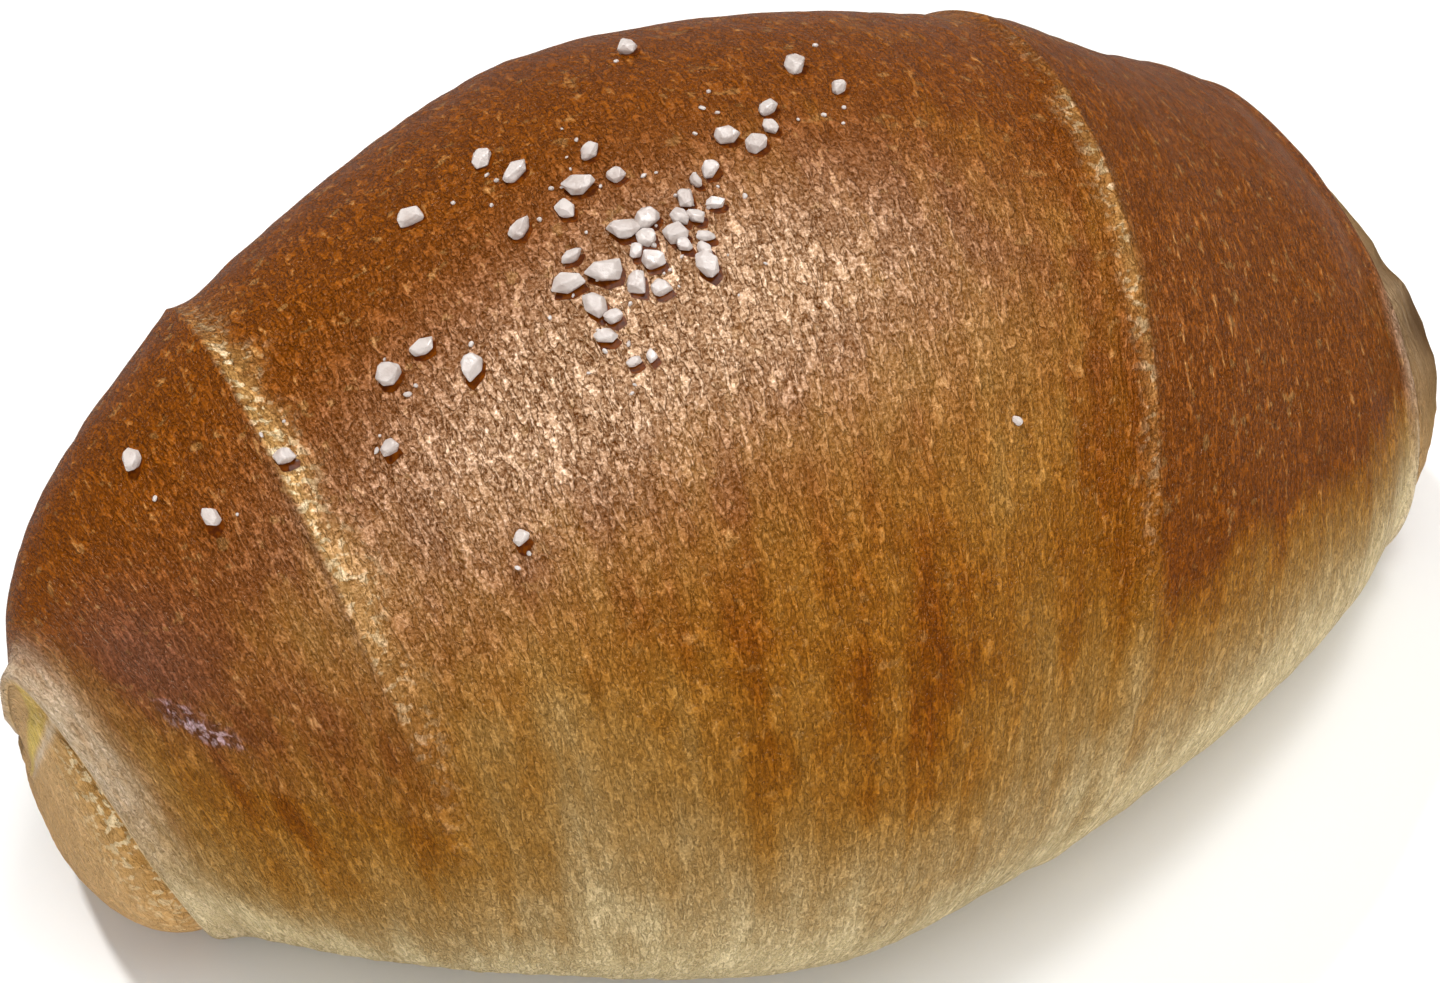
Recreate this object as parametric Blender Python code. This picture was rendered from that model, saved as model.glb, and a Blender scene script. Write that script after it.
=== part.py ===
"""Salt bread roll: one rolled loaf with a fat middle lobe, a lobe at each side, a pale dough core
showing at each end, a flat underside and coarse salt grains baked onto the crown.

X runs along the roll, Y across it (the front is -Y) and Z up. The underside rests on Z = 0.
"""
import math
import random

import bmesh
import bpy
import numpy as np
from mathutils import Matrix, Vector
from mathutils.bvhtree import BVHTree

NAME = "salt_bread_roll"
MM = 0.001                     # the sizes below are in millimetres

# overall body
LENGTH = 116.4                 # of the plain hull that the lobes lie on
WIDTH = 79.5
HEIGHT = 58.0
FATTEST_X = -4.3               # where the roll is fattest
SECTION_POWER = 2.022          # 2 is an ellipse, more is squarer
AXIS_HEIGHT = 0.33             # level of the widest line, as a share of the height
AXIS_AT_ENDS = 0.5             # how much of that level is left at the very ends
UNDER_DEPTH = 1.314            # underside depth as a share of the widest line's level
UNDER_HOLD = 0.37              # lower keeps the underside down further out
BACK_SHARE = 0.9               # the back bulges this much of half the width, the front the rest
BASE_BLEND = 3.0               # rounding where the side turns into the flat underside
FOOT_EDGE = 0.4                # what would lie lower than this belongs to the flat underside
CROWN_SOFTNESS = 0.388         # how gently the fattest place rounds off
TAPER = {"left": 0.86, "right": 0.83}      # lower is more pointed
ROUNDNESS = {"left": 1.7, "right": 3.15}    # higher is blunter
HEIGHT_HOLD = {"left": 0.36, "right": 1.0}  # lower keeps the height further out
BACK_HOLD = {"left": 0.903, "right": 0.42}

# edges of the dough wraps, as mean place, swing and angle of the furthest point.
# The place runs from -1 to 1 along the roll and the angle turns from the back over the top.
SEAM_LEFT = (-0.394, 0.047, 64.8)
SEAM_RIGHT = (0.232, 0.168, 70.0)
LIP_LEFT = (-0.79, 0.165, 58.0)
LIP_RIGHT = (0.77, 0.1, 103.0)

# relief of the wraps
SEAM_DEPTH = {"left": 0.95, "right": 0.4}
SEAM_EDGE = {"left": 0.73, "right": 0.32}   # raised edge of the middle lobe
SEAM_REACH = 4.0
SEAM_FLANK = 1.5
SEAM_SHOULDER = 14.0
LIP_ROUND = {"left": 1.0, "right": 1.1}     # rounding of the lobe down to its lip
LIP_FLANK = 1.6
LIP_INSET = {"left": 1.2, "right": 1.7}     # the core starts this far inside the lip
LOBE_SWELL = {"left": -0.1, "right": 1.9}
MIDDLE_SAG = 0.56              # the crown of the middle lobe is flatter than the hull
TIP = {"left": (-58.8, 1.3, 11.8), "right": (59.5, -12.8, 23.0)}
CORE_FULLNESS = {"left": 0.92, "right": 0.8}  # lower swells out more before it reaches the tip
TIP_DIMPLE = 1.5               # hollow where the coiled dough ends
TIP_DIMPLE_REACH = 3.0
FOLD_DEPTH = 0.7               # crescent fold between the dimple and the lip
FOLD_FROM_TIP = 7.5
FOLD_WIDTH = 1.6
FOLD_ANGLE = 70.0
FOLD_SPAN = 75.0
POCKET_DEPTH = 1.6             # small hollow below the left lip
POCKET_ANGLE = 121.0
POCKET_SPAN = 14.0
POCKET_FROM_LIP = 0.25         # as a share of the way to the tip
POCKET_REACH = 0.2
UNEVENNESS = 0.13              # soft handmade waviness
WAVE_SEED = 2
WAVE_COUNT = 5

# coarse salt: x, y, reach in x, reach in y, grains, mean size, draw
SALT_PATCHES = (
    (-0.4, -3.8, 2.2, 2.9, 5, 1.39, 9468),
    (-5.2, -6.3, 2.7, 2.5, 7, 1.65, 5771),
    (-2.5, -9.0, 1.4, 2.0, 4, 1.53, 3347),
    (-8.2, -9.3, 2.4, 2.2, 3, 1.64, 6978),
    (-11.6, -9.5, 1.4, 5.0, 5, 1.6, 7927),
    (-10.0, -15.1, 1.4, 0.2, 2, 1.04, 3516),
    (6.6, 1.0, 2.9, 2.3, 4, 1.56, 10480),
    (13.4, 5.7, 2.2, 3.6, 2, 1.82, 2567),
    (1.9, 15.6, 0.0, 0.0, 1, 1.72, 332),
    (-7.3, 0.8, 3.4, 3.6, 4, 1.68, 1862),
    (-12.8, 3.9, 1.4, 7.5, 3, 1.79, 4757),
    (-19.8, 5.6, 0.0, 0.0, 1, 1.75, 220),
    (-23.8, -7.3, 4.5, 3.6, 3, 1.77, 8893),
    (-28.6, -11.3, 0.0, 0.0, 1, 1.4, 332),
    (-41.0, -5.6, 7.9, 7.2, 3, 1.71, 8139),
    (-22.6, -21.5, 0.0, 0.0, 1, 1.24, 332),
)
GRAIN_SPREAD = 0.22            # how much the grain sizes differ
GRAIN_SPACING = 0.95
GRAIN_SINK = 0.22              # share of a grain's height that sits in the crust
GRAIN_LEAN = 0.3
GRAIN_SHAPE = ((1.22, 1.6), (0.92, 1.2), (0.55, 0.75))  # range of length, breadth and height
GRAIN_RINGS = ((0.0, 1.0, 6), (0.85, 0.72, 5), (-0.85, 0.7, 4))  # level, reach and corners
GRAIN_CHIPPING = (0.68, 1.05)  # range of how far out a corner lies
GRAIN_POINT = 0.12             # how much one end is drawn out

# mesh
COLUMNS = 80
LOBE_RINGS = (8, 15, 8)
CORE_RINGS = 6

CRUST_COLOUR = (0.32, 0.12, 0.033, 1.0)
CRUST_ROUGHNESS = 0.42


def end_values(values, x):
    """The left or the right value of a pair, by the side of the fattest place."""
    return np.where(x < 0, values["left"], values["right"])


def wrap_edge(edge, angle):
    mean, swing, furthest = edge
    return mean + math.copysign(swing, mean) * np.cos(angle - math.radians(furthest))


def hull(place, angle):
    """Plain body without the wraps: points for a place along the roll and an angle round it."""
    x = LENGTH / 2 * np.sin(place * math.pi / 2)
    from_fattest = x - FATTEST_X
    reach = np.where(from_fattest < 0, LENGTH / 2 + FATTEST_X, LENGTH / 2 - FATTEST_X)
    share = np.clip(np.abs(from_fattest) / reach, 0, 1)
    share = ((np.sqrt(share ** 2 + CROWN_SOFTNESS ** 2) - CROWN_SOFTNESS)
             / (math.sqrt(1 + CROWN_SOFTNESS ** 2) - CROWN_SOFTNESS))
    girth = np.clip(1 - share ** end_values(TAPER, from_fattest), 0, None) ** (
        1 / end_values(ROUNDNESS, from_fattest))
    rise = girth ** end_values(HEIGHT_HOLD, from_fattest)
    back = girth ** end_values(BACK_HOLD, from_fattest)

    radius = (np.abs(np.cos(angle)) ** SECTION_POWER
              + np.abs(np.sin(angle)) ** SECTION_POWER) ** (-1 / SECTION_POWER)
    across, upward = np.cos(angle) * radius, np.sin(angle) * radius
    half = np.where(across > 0, back * BACK_SHARE, girth * (2 - BACK_SHARE)) * WIDTH / 2
    y = half * across
    level = HEIGHT * AXIS_HEIGHT * (AXIS_AT_ENDS + (1 - AXIS_AT_ENDS) * rise)
    above = HEIGHT * (1 - AXIS_HEIGHT) * rise
    below = HEIGHT * AXIS_HEIGHT * UNDER_DEPTH * girth ** UNDER_HOLD
    z = level + np.where(upward >= 0, above, below) * upward
    return np.stack([x, y, z], -1)


def around(angle, centre, width):
    """Soft bump round one direction of the section, in degrees."""
    turn = (np.degrees(angle) - centre + 180) % 360 - 180
    return np.exp(-(turn / width) ** 2)


def overlap(distance, depth, edge):
    """Crease where one wrap lies on another. The upper wrap is on the positive side."""
    away = np.abs(distance)
    lower = -depth * np.exp(-away / SEAM_REACH)
    upper = -depth * np.exp(-away / SEAM_FLANK)
    upper = upper + edge * (1 - np.exp(-away / SEAM_FLANK)) * np.exp(-away / SEAM_SHOULDER)
    return np.where(distance < 0, lower, upper)


def swell(along, start, end):
    return np.sin(math.pi * np.clip((along - start) / (end - start), 0, 1)) ** 2


def relief(along, seam_l, seam_r, angle):
    """Height of the wraps over the hull, from distances along the roll's surface."""
    on_top = np.clip(0.3 + np.sin(angle), 0, 1)
    crisp_l = (0.45 * around(angle, 60, 55) + around(angle, 112, 40)
               + 0.35 * around(angle, 170, 40) + 0.3 * around(angle, 0, 60))
    crisp_r = (0.7 * around(angle, 70, 60) + 0.9 * around(angle, 130, 50)
               + 0.5 * around(angle, 180, 40) + 0.4 * around(angle, 0, 60))
    end = along[-1]
    height = crisp_l * overlap(along - seam_l, SEAM_DEPTH["left"], SEAM_EDGE["left"])
    height += crisp_r * overlap(seam_r - along, SEAM_DEPTH["right"], SEAM_EDGE["right"])
    height -= LIP_ROUND["left"] * np.exp(-(along / LIP_FLANK) ** 2)
    height -= LIP_ROUND["right"] * np.exp(-((end - along) / LIP_FLANK) ** 2)
    height += LOBE_SWELL["left"] * swell(along, 0, seam_l) * on_top
    height += LOBE_SWELL["right"] * swell(along, seam_r, end) * on_top
    height -= MIDDLE_SAG * swell(along, seam_l, seam_r) * on_top
    return height


def waviness(points, angle):
    """A few long soft waves, so that the roll isn't even."""
    rng = random.Random(WAVE_SEED)
    total = np.zeros(points.shape[:-1])
    for _ in range(WAVE_COUNT):
        length, turns = rng.uniform(28, 60), rng.randint(1, 4)
        phase, offset = rng.uniform(0, 2 * math.pi), rng.uniform(0, 2 * math.pi)
        total += UNEVENNESS * np.sin(2 * math.pi * points[..., 0] / length + phase) * np.cos(
            turns * angle + offset)
    return total


def ring_places(angle):
    """Place of every ring from lip to lip at each angle. The rings follow the wraps' edges."""
    limits = [wrap_edge(e, angle) for e in (LIP_LEFT, SEAM_LEFT, SEAM_RIGHT, LIP_RIGHT)]
    places, marks = [], []
    for part, count in enumerate(LOBE_RINGS):
        marks.append(len(places))
        for step in (1 - np.cos(np.arange(count) / count * math.pi)) / 2:
            places.append(limits[part] + (limits[part + 1] - limits[part]) * step)
    places.append(limits[-1])
    return np.array(places), marks[1:]


def lobes(angle):
    """Rings of the three lobes, from the left lip to the right one."""
    places, marks = ring_places(angle)
    angles = np.broadcast_to(angle, places.shape)
    points = hull(places, angles)
    steps = np.linalg.norm(np.diff(points, axis=0), axis=-1)
    along = np.concatenate([np.zeros((1, len(angle))), np.cumsum(steps, axis=0)])
    normal = np.cross(np.gradient(points, axis=0),
                      np.roll(points, -1, 1) - np.roll(points, 1, 1))
    normal /= np.linalg.norm(normal, axis=-1, keepdims=True)
    height = relief(along, along[marks[0]], along[marks[1]], angles) + waviness(points, angles)
    return points + normal * height[..., None]


def core(lip, angle, side):
    """Rings of the dough core from its tip out to where it tucks under the lobe's lip."""
    tip = np.array(TIP[side])
    middle = lip.mean(axis=0)
    inset = LIP_INSET[side] / np.linalg.norm(lip - middle, axis=-1, keepdims=True)
    rim = lip + (middle - lip) * inset
    rings = []
    for ring in range(CORE_RINGS):
        share = ring / CORE_RINGS
        turn = share * math.pi / 2
        out = math.sin(turn) ** CORE_FULLNESS[side]
        across = middle + (rim - middle) * out + (tip - middle) * (1 - out)
        across[:, 0] = rim[:, 0] + (tip[0] - rim[:, 0]) * math.cos(turn)
        rings.append(across)
    rings = np.array(rings)
    from_tip = np.linalg.norm(rings - rings[:1], axis=-1)
    share = np.arange(CORE_RINGS)[:, None] / CORE_RINGS
    hollow = TIP_DIMPLE * np.exp(-(from_tip / TIP_DIMPLE_REACH) ** 2)
    hollow = hollow + (FOLD_DEPTH * around(angle, FOLD_ANGLE, FOLD_SPAN)
                       * np.exp(-((from_tip - FOLD_FROM_TIP) / FOLD_WIDTH) ** 2))
    if side == "left":
        hollow = hollow + (POCKET_DEPTH * around(angle, POCKET_ANGLE, POCKET_SPAN)
                           * np.exp(-((1 - share - POCKET_FROM_LIP) / POCKET_REACH) ** 2))
    inward = middle - rings
    inward /= np.linalg.norm(inward, axis=-1, keepdims=True)
    return np.concatenate([rings + inward * hollow[..., None], rim[None]])


def body_grid():
    """Rings of points from tip to tip, in millimetres."""
    angle = np.arange(COLUMNS) * 2 * math.pi / COLUMNS
    middle = lobes(angle)
    left = core(middle[0], angle, "left")
    right = core(middle[-1], angle, "right")
    points = np.concatenate([left, middle, right[::-1]])
    z = points[..., 2]
    blended = np.clip(z + BASE_BLEND, 0, None) ** 2 / (4 * BASE_BLEND)
    blended = np.where(blended < FOOT_EDGE, 0, blended)
    points[..., 2] = np.where(z > BASE_BLEND, z, blended)
    return points


def loft(name, grid):
    """Closed mesh through rings whose first and last have shrunk to one point."""
    rings, columns = grid.shape[:2]
    inner = grid[1:-1].reshape(-1, 3)
    points = [Vector(p) * MM for p in (*inner, grid[0, 0], grid[-1, 0])]
    first, last = len(points) - 2, len(points) - 1
    faces = []
    for j in range(columns):
        k = (j + 1) % columns
        faces.append((first, k, j))
        end = (rings - 3) * columns
        faces.append((end + j, end + k, last))
        for i in range(rings - 3):
            row, above = i * columns, (i + 1) * columns
            faces.append((row + j, row + k, above + k, above + j))
    mesh = bpy.data.meshes.new(name)
    mesh.from_pydata(points, [], faces)
    mesh.update()
    return bpy.data.objects.new(name, mesh)


def salt_layout():
    """Plan position, size and draw of each grain. The largest of a patch come first."""
    grains = []
    for x, y, reach_x, reach_y, count, mean, draw in SALT_PATCHES:
        rng = random.Random(draw)
        sizes = sorted((mean * math.exp(rng.gauss(0, GRAIN_SPREAD)) for _ in range(count)),
                       reverse=True)
        placed = []
        for size in sizes:
            best, clearance = None, -math.inf
            for _ in range(30):
                turn, out = rng.uniform(0, 2 * math.pi), math.sqrt(rng.random())
                spot = (x + reach_x * out * math.cos(turn), y + reach_y * out * math.sin(turn))
                room = min((math.dist(spot, p[:2]) - GRAIN_SPACING * (size + p[2]) / 2
                            for p in placed), default=0)
                if room > clearance:
                    best, clearance = spot, room
                if room >= 0:
                    break
            placed.append((*best, size))
        grains += [(*p, rng.random()) for p in placed]
    return grains


def crystal(name, size, rng):
    """Chipped flake: the hull of an uneven ring of corners with a smaller face above and below."""
    long, broad, high = (size / 2 * rng.uniform(*share) for share in GRAIN_SHAPE)
    points = []
    for level, reach, corners in GRAIN_RINGS:
        start = rng.uniform(0, 2 * math.pi)
        for corner in range(corners):
            turn = start + 2 * math.pi * (corner + rng.uniform(-0.3, 0.3)) / corners
            out = reach * rng.uniform(*GRAIN_CHIPPING)
            drawn = 1 + GRAIN_POINT * max(0.0, math.cos(turn)) ** 3
            points.append((long * out * drawn * math.cos(turn), broad * out * math.sin(turn),
                           high * (level + rng.uniform(-0.15, 0.15))))
    shape = bmesh.new()
    for point in points:
        shape.verts.new(Vector(point) * MM)
    hull_parts = bmesh.ops.convex_hull(shape, input=shape.verts)
    bmesh.ops.delete(shape, geom=hull_parts["geom_interior"], context="VERTS")
    mesh = bpy.data.meshes.new(name)
    shape.to_mesh(mesh)
    shape.free()
    return bpy.data.objects.new(name, mesh), high


def salt_grains(body):
    """Crystals half sunk in the crust, each turned to lie on the slope below it."""
    crust = BVHTree.FromPolygons([v.co for v in body.data.vertices],
                                 [p.vertices for p in body.data.polygons])
    for number, (x, y, size, draw) in enumerate(salt_layout()):
        rng = random.Random(draw)
        item, half_height = crystal(f"grain_{number}", size, rng)
        spot, normal, _, _ = crust.ray_cast(Vector((x, y, 2 * HEIGHT)) * MM, Vector((0, 0, -1)))
        lie = normal.to_track_quat("Z", "Y").to_matrix().to_4x4()
        spin = Matrix.Rotation(rng.uniform(0, 2 * math.pi), 4, "Z")
        lean = Matrix.Rotation(rng.uniform(-GRAIN_LEAN, GRAIN_LEAN), 4, "X")
        rise = half_height * (1 - 2 * GRAIN_SINK) * MM
        item.matrix_world = Matrix.Translation(spot + normal * rise) @ lie @ spin @ lean
        yield item


def fuse(body, tools):
    """Join every object of a collection to the body for good."""
    union = body.modifiers.new("salt", "BOOLEAN")
    union.operation = "UNION"
    union.operand_type = "COLLECTION"
    union.collection = tools
    union.solver = "MANIFOLD"
    bpy.context.view_layer.update()
    fused = bpy.data.meshes.new_from_object(
        body.evaluated_get(bpy.context.evaluated_depsgraph_get()))
    body.modifiers.remove(union)
    body.data = fused
    for item in list(tools.objects):
        bpy.data.objects.remove(item, do_unlink=True)
    bpy.data.collections.remove(tools)


def centre(body):
    """Move the shape so that its box stands centred on the origin."""
    spots = np.array([v.co for v in body.data.vertices])
    low, high = spots.min(axis=0), spots.max(axis=0)
    body.data.transform(Matrix.Translation((-(low[0] + high[0]) / 2, -(low[1] + high[1]) / 2,
                                            -low[2])))


def crust_material():
    material = bpy.data.materials.new("baked_crust")
    material.use_nodes = True
    shader = material.node_tree.nodes["Principled BSDF"]
    shader.inputs["Base Color"].default_value = CRUST_COLOUR
    shader.inputs["Roughness"].default_value = CRUST_ROUGHNESS
    return material


def clear():
    for item in list(bpy.data.objects):
        bpy.data.objects.remove(item, do_unlink=True)
    for item in list(bpy.data.collections):
        bpy.data.collections.remove(item)


def main():
    clear()
    own = bpy.data.collections.new(NAME)
    tools = bpy.data.collections.new("salt_grains")
    for collection in (own, tools):
        bpy.context.scene.collection.children.link(collection)
    body = loft(NAME, body_grid())
    own.objects.link(body)
    for item in salt_grains(body):
        tools.objects.link(item)
    fuse(body, tools)
    centre(body)
    body.name = NAME
    body.data.name = NAME
    body.data.materials.clear()
    body.data.materials.append(crust_material())


main()
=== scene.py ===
"""Finished looks of the salt bread roll: its baked crust with the rolled dough lobes, the salt on it,
a plain stage, soft lights and the camera.

X runs along the roll, Y across it (the front is -Y) and Z up. The sizes below are in millimetres.
"""
import math
import random

import bmesh
import bpy
import numpy as np
from bpy.props import FloatProperty, FloatVectorProperty, IntProperty, PointerProperty
from mathutils import Matrix, Vector
from mathutils.bvhtree import BVHTree


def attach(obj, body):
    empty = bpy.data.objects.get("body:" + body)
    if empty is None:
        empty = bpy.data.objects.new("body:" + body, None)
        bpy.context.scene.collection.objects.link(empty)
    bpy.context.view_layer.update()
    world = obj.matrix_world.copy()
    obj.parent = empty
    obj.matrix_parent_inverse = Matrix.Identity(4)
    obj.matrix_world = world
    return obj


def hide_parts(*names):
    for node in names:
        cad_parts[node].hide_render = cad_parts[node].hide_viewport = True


bl_info = {
    "name": "Salt bread roll",
    "version": (1, 0, 0),
    "blender": (4, 5, 0),
    "location": "3D View > Sidebar > Salt bread roll",
    "description": "Builds the crust, the salt grains and the stage of a salt bread roll",
    "category": "Add Mesh",
}

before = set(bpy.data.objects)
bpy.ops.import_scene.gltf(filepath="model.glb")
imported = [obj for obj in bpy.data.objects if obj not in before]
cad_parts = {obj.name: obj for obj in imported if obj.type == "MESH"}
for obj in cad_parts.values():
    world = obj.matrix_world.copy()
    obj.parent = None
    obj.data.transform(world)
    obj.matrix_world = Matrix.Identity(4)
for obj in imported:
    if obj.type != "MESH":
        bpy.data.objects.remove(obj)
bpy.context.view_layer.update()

NODE = "salt_bread_roll"
MM = 0.001

# overall body
LENGTH = 116.4                 # of the plain hull that the lobes lie on
WIDTH = 79.5
HEIGHT = 58.0
FATTEST_X = -4.3               # where the roll is fattest
SECTION_POWER = 2.022          # 2 is an ellipse, more is squarer
AXIS_HEIGHT = 0.33             # level of the widest line, as a share of the height
AXIS_AT_ENDS = 0.5             # how much of that level is left at the very ends
UNDER_DEPTH = 1.314            # underside depth as a share of the widest line's level
UNDER_HOLD = 0.37              # lower keeps the underside down further out
BACK_SHARE = 0.9               # the back bulges this much of half the width, the front the rest
BASE_BLEND = 3.0               # rounding where the side turns into the flat underside
FOOT_EDGE = 0.4                # what would lie lower than this belongs to the flat underside
CROWN_SOFTNESS = 0.388         # how gently the fattest place rounds off
TAPER = {"left": 0.86, "right": 0.83}      # lower is more pointed
ROUNDNESS = {"left": 1.7, "right": 3.15}    # higher is blunter
HEIGHT_HOLD = {"left": 0.36, "right": 1.0}  # lower keeps the height further out
BACK_HOLD = {"left": 0.903, "right": 0.42}

# edges of the dough wraps, as mean place, swing and angle of the furthest point.
# The place runs from -1 to 1 along the roll and the angle turns from the back over the top.
SEAM_LEFT = (-0.394, 0.047, 64.8)
SEAM_RIGHT = (0.232, 0.168, 70.0)
LIP_LEFT = (-0.79, 0.165, 58.0)
LIP_RIGHT = (0.77, 0.1, 103.0)

# relief of the wraps
SEAM_DEPTH = {"left": 0.95, "right": 0.4}
SEAM_EDGE = {"left": 0.73, "right": 0.32}   # raised edge of the middle lobe
SEAM_REACH = 4.0
SEAM_FLANK = 1.5
SEAM_SHOULDER = 14.0
LIP_ROUND = {"left": 1.0, "right": 1.1}     # rounding of the lobe down to its lip
LIP_FLANK = 1.6
LIP_INSET = {"left": 1.2, "right": 1.7}     # the core starts this far inside the lip
LOBE_SWELL = {"left": -0.1, "right": 1.9}
MIDDLE_SAG = 0.56              # the crown of the middle lobe is flatter than the hull
TIP = {"left": (-58.8, 1.3, 11.8), "right": (59.5, -12.8, 23.0)}
CORE_FULLNESS = {"left": 0.92, "right": 0.8}  # lower swells out more before it reaches the tip
TIP_DIMPLE = 1.5               # hollow where the coiled dough ends
TIP_DIMPLE_REACH = 3.0
FOLD_DEPTH = 0.7               # crescent fold between the dimple and the lip
FOLD_FROM_TIP = 7.5
FOLD_WIDTH = 1.6
FOLD_ANGLE = 70.0
FOLD_SPAN = 75.0
POCKET_DEPTH = 1.6             # small hollow below the left lip
POCKET_ANGLE = 121.0
POCKET_SPAN = 14.0
POCKET_FROM_LIP = 0.25         # as a share of the way to the tip
POCKET_REACH = 0.2
UNEVENNESS = 0.13              # soft handmade waviness
WAVE_SEED = 2
WAVE_COUNT = 5

# coarse salt: x, y, reach in x, reach in y, grains, mean size, draw.
# The draws aren't free: each is the seed that lays its grains nearest to measured places.
SALT_PATCHES = (
    (-0.4, -3.8, 2.2, 2.9, 5, 1.39, 9468),
    (-5.2, -6.3, 2.7, 2.5, 7, 1.65, 5771),
    (-2.5, -9.0, 1.4, 2.0, 4, 1.53, 3347),
    (-8.2, -9.3, 2.4, 2.2, 3, 1.64, 6978),
    (-11.6, -9.5, 1.4, 5.0, 5, 1.6, 7927),
    (-10.0, -15.1, 1.4, 0.2, 2, 1.04, 3516),
    (6.6, 1.0, 2.9, 2.3, 4, 1.56, 10480),
    (13.4, 5.7, 2.2, 3.6, 2, 1.82, 2567),
    (1.9, 15.6, 0.0, 0.0, 1, 1.72, 332),
    (-7.3, 0.8, 3.4, 3.6, 4, 1.68, 1862),
    (-12.8, 3.9, 1.4, 7.5, 3, 1.79, 4757),
    (-19.8, 5.6, 0.0, 0.0, 1, 1.75, 220),
    (-23.8, -7.3, 4.5, 3.6, 3, 1.77, 8893),
    (-28.6, -11.3, 0.0, 0.0, 1, 1.4, 332),
    (-41.0, -5.6, 7.9, 7.2, 3, 1.71, 8139),
    (-22.6, -21.5, 0.0, 0.0, 1, 1.24, 332),
)
GRAIN_SPREAD = 0.22            # how much the grain sizes differ
GRAIN_SPACING = 0.95
GRAIN_SINK = 0.22              # share of a grain's height that sits in the crust
GRAIN_LEAN = 0.3
GRAIN_SHAPE = ((1.22, 1.6), (0.92, 1.2), (0.55, 0.75))  # range of length, breadth and height
GRAIN_RINGS = ((0.0, 1.0, 6), (0.85, 0.72, 5), (-0.85, 0.7, 4))  # level, reach and corners
GRAIN_CHIPPING = (0.68, 1.05)  # range of how far out a corner lies
GRAIN_POINT = 0.12             # how much one end is drawn out

# fine salt crumbs between the grains
CRUMB_SEED = 5
CRUMBS_PER_GRAIN = 1.5
CRUMB_SCATTER = 1.2
CRUMB_SIZE = (0.22, 0.5)
STRAY_CRUMB = (15.3, -25.3, 0.8, 0.37)  # single one beside the right seam: x, y, size and draw

# dark marks under the grains, partly wet crust and partly a painted shadow of the grain towards the
# front: shift in X and Y, growth against the grain, and corners
MARK_SHIFT = (0.1, -0.4)
MARK_GROWTH = 1.02
MARK_CORNERS = 16
MARK_LIFT = 0.035
SAME_SPOT = 1e-6               # corners nearer than this are one, in metres

# mesh
LOBE_RINGS = (56, 104, 56)
CORE_RINGS = 24
RING_CROWDING = 0.6            # how much closer the rings lie at the edges of the wraps

# where the colour fades from baked to pale, in degrees round the section
FADE_START = {"left": 156.0, "middle": 143.0, "right": 136.0}
FADE_END = {"left": 210.0, "middle": 203.0, "right": 197.0}
FADE_BACK = (320.0, 357.0)
# lighter or, where the last number is below 0, darker patches of the crust:
# X and reach along the roll, angle and reach round it, amount
LIGHTER_PATCHES = (
    (-22.0, 14.0, 134.0, 18.0, 0.12),
    (-26.0, 14.0, 88.0, 24.0, -0.3),
    (-44.0, 8.0, 102.0, 22.0, -0.3),
    (-38.0, 6.0, 132.0, 14.0, 0.15),
    (8.0, 18.0, 120.0, 24.0, 0.16),
    (-2.0, 11.0, 142.0, 16.0, 0.12),
    (15.0, 9.0, 149.0, 17.0, 0.14),
    (-23.0, 15.0, 166.0, 21.0, 0.33),
    (3.0, 9.0, 161.0, 13.0, -0.09),
    (-25.0, 9.0, 150.0, 9.0, 0.2),
    (-24.0, 24.0, 62.0, 26.0, -0.25),
    (37.0, 13.0, 129.0, 13.0, -0.14),
)
RIGHT_BAKE = 0.5               # extra baking of the right lobe, from its seam onwards
RIGHT_BAKE_REACH = 3.0
RIGHT_BAKE_ANGLE = 122.0
RIGHT_BAKE_SPAN = 36.0
LEFT_FADE = 0.32               # paler baking towards the left lip
LEFT_FADE_REACH = 9.0
BAND_WIDTH = {"left": 2.0, "right": 1.1}    # pale torn strip beside a seam
TORN_SPAN = {"left": (106.0, 34.0), "right": (106.0, 32.0)}  # where it shows: angle and reach
# painted shade in the crease beside each seam, as a dark line
CREASE_SHADE_LINE = {"left": (118.0, 24.0), "right": (112.0, 28.0)}  # dark line: angle and reach
CREASE_PLACE = 0.25            # it lies this far below the seam
CREASE_BREADTH = 0.4
CRUST_GLOSS = 0.07             # strength of the crust's reflections
MIRRORED_FLOOR = 0.15          # brightness of the floor in those reflections
# places of the crown where a highlight is painted into the colour and the crust is a little glossier:
# X, Y, their reaches and the amount
HIGHLIGHT_AND_GLOSS = ((0.0, -12.5, 17.0, 9.0, 1.0), (-19.0, -16.0, 16.0, 8.0, 0.8))
TORN_RIGHT = 0.6               # how plainly the right strip shows against the left one
LIP_PALE = {"left": 3.3, "right": 1.4}      # reach of the pale edge of an outer lobe
LIP_STRENGTH = {"left": 1.0, "right": 0.55}
LIP_FADE = 0.7                 # how much of the left one is lost towards the foot
CREASE_REACH = 2.5             # crumbly yellowish crease of the core below the left lip
CREASE_SPAN = (165.0, 42.0)
# thin pale edge of a dough layer beside the pocket: angle at the lip and how far it leans from
# there to the tip. The pocket's yellow wedge lies before it and narrows by the last number.
LAYER_EDGE = (137.0, 10.0, 25.0)
LAYER_WIDTH = 2.2
# painted shade in the fold and the dimple of each core
CORE_HOLLOW_SHADE = {"left": 0.22, "right": 0.5}  # how dark the fold and the dimple of a core are
# paler front of the right core: amount, angle and reach
CORE_PALE = (0.5, 128.0, 45.0)
BLUSH = (0.4, 130.0, 6.0, 16.0)             # violet tint: share of the left lobe, angle, reaches
# rough blistered streak on the left lobe: share, angle, half length, half breadth and slant
SCAB = (0.44, 144.5, 5.0, 2.0, 0.5)
# how plainly each of these lies over the crust's colour
BLUSH_STRENGTH = 0.45
SCAB_STRENGTH = 0.85
HOLLOW_SHADE_STRENGTH = 0.65
FLECK_STRENGTH = 0.36
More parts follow.
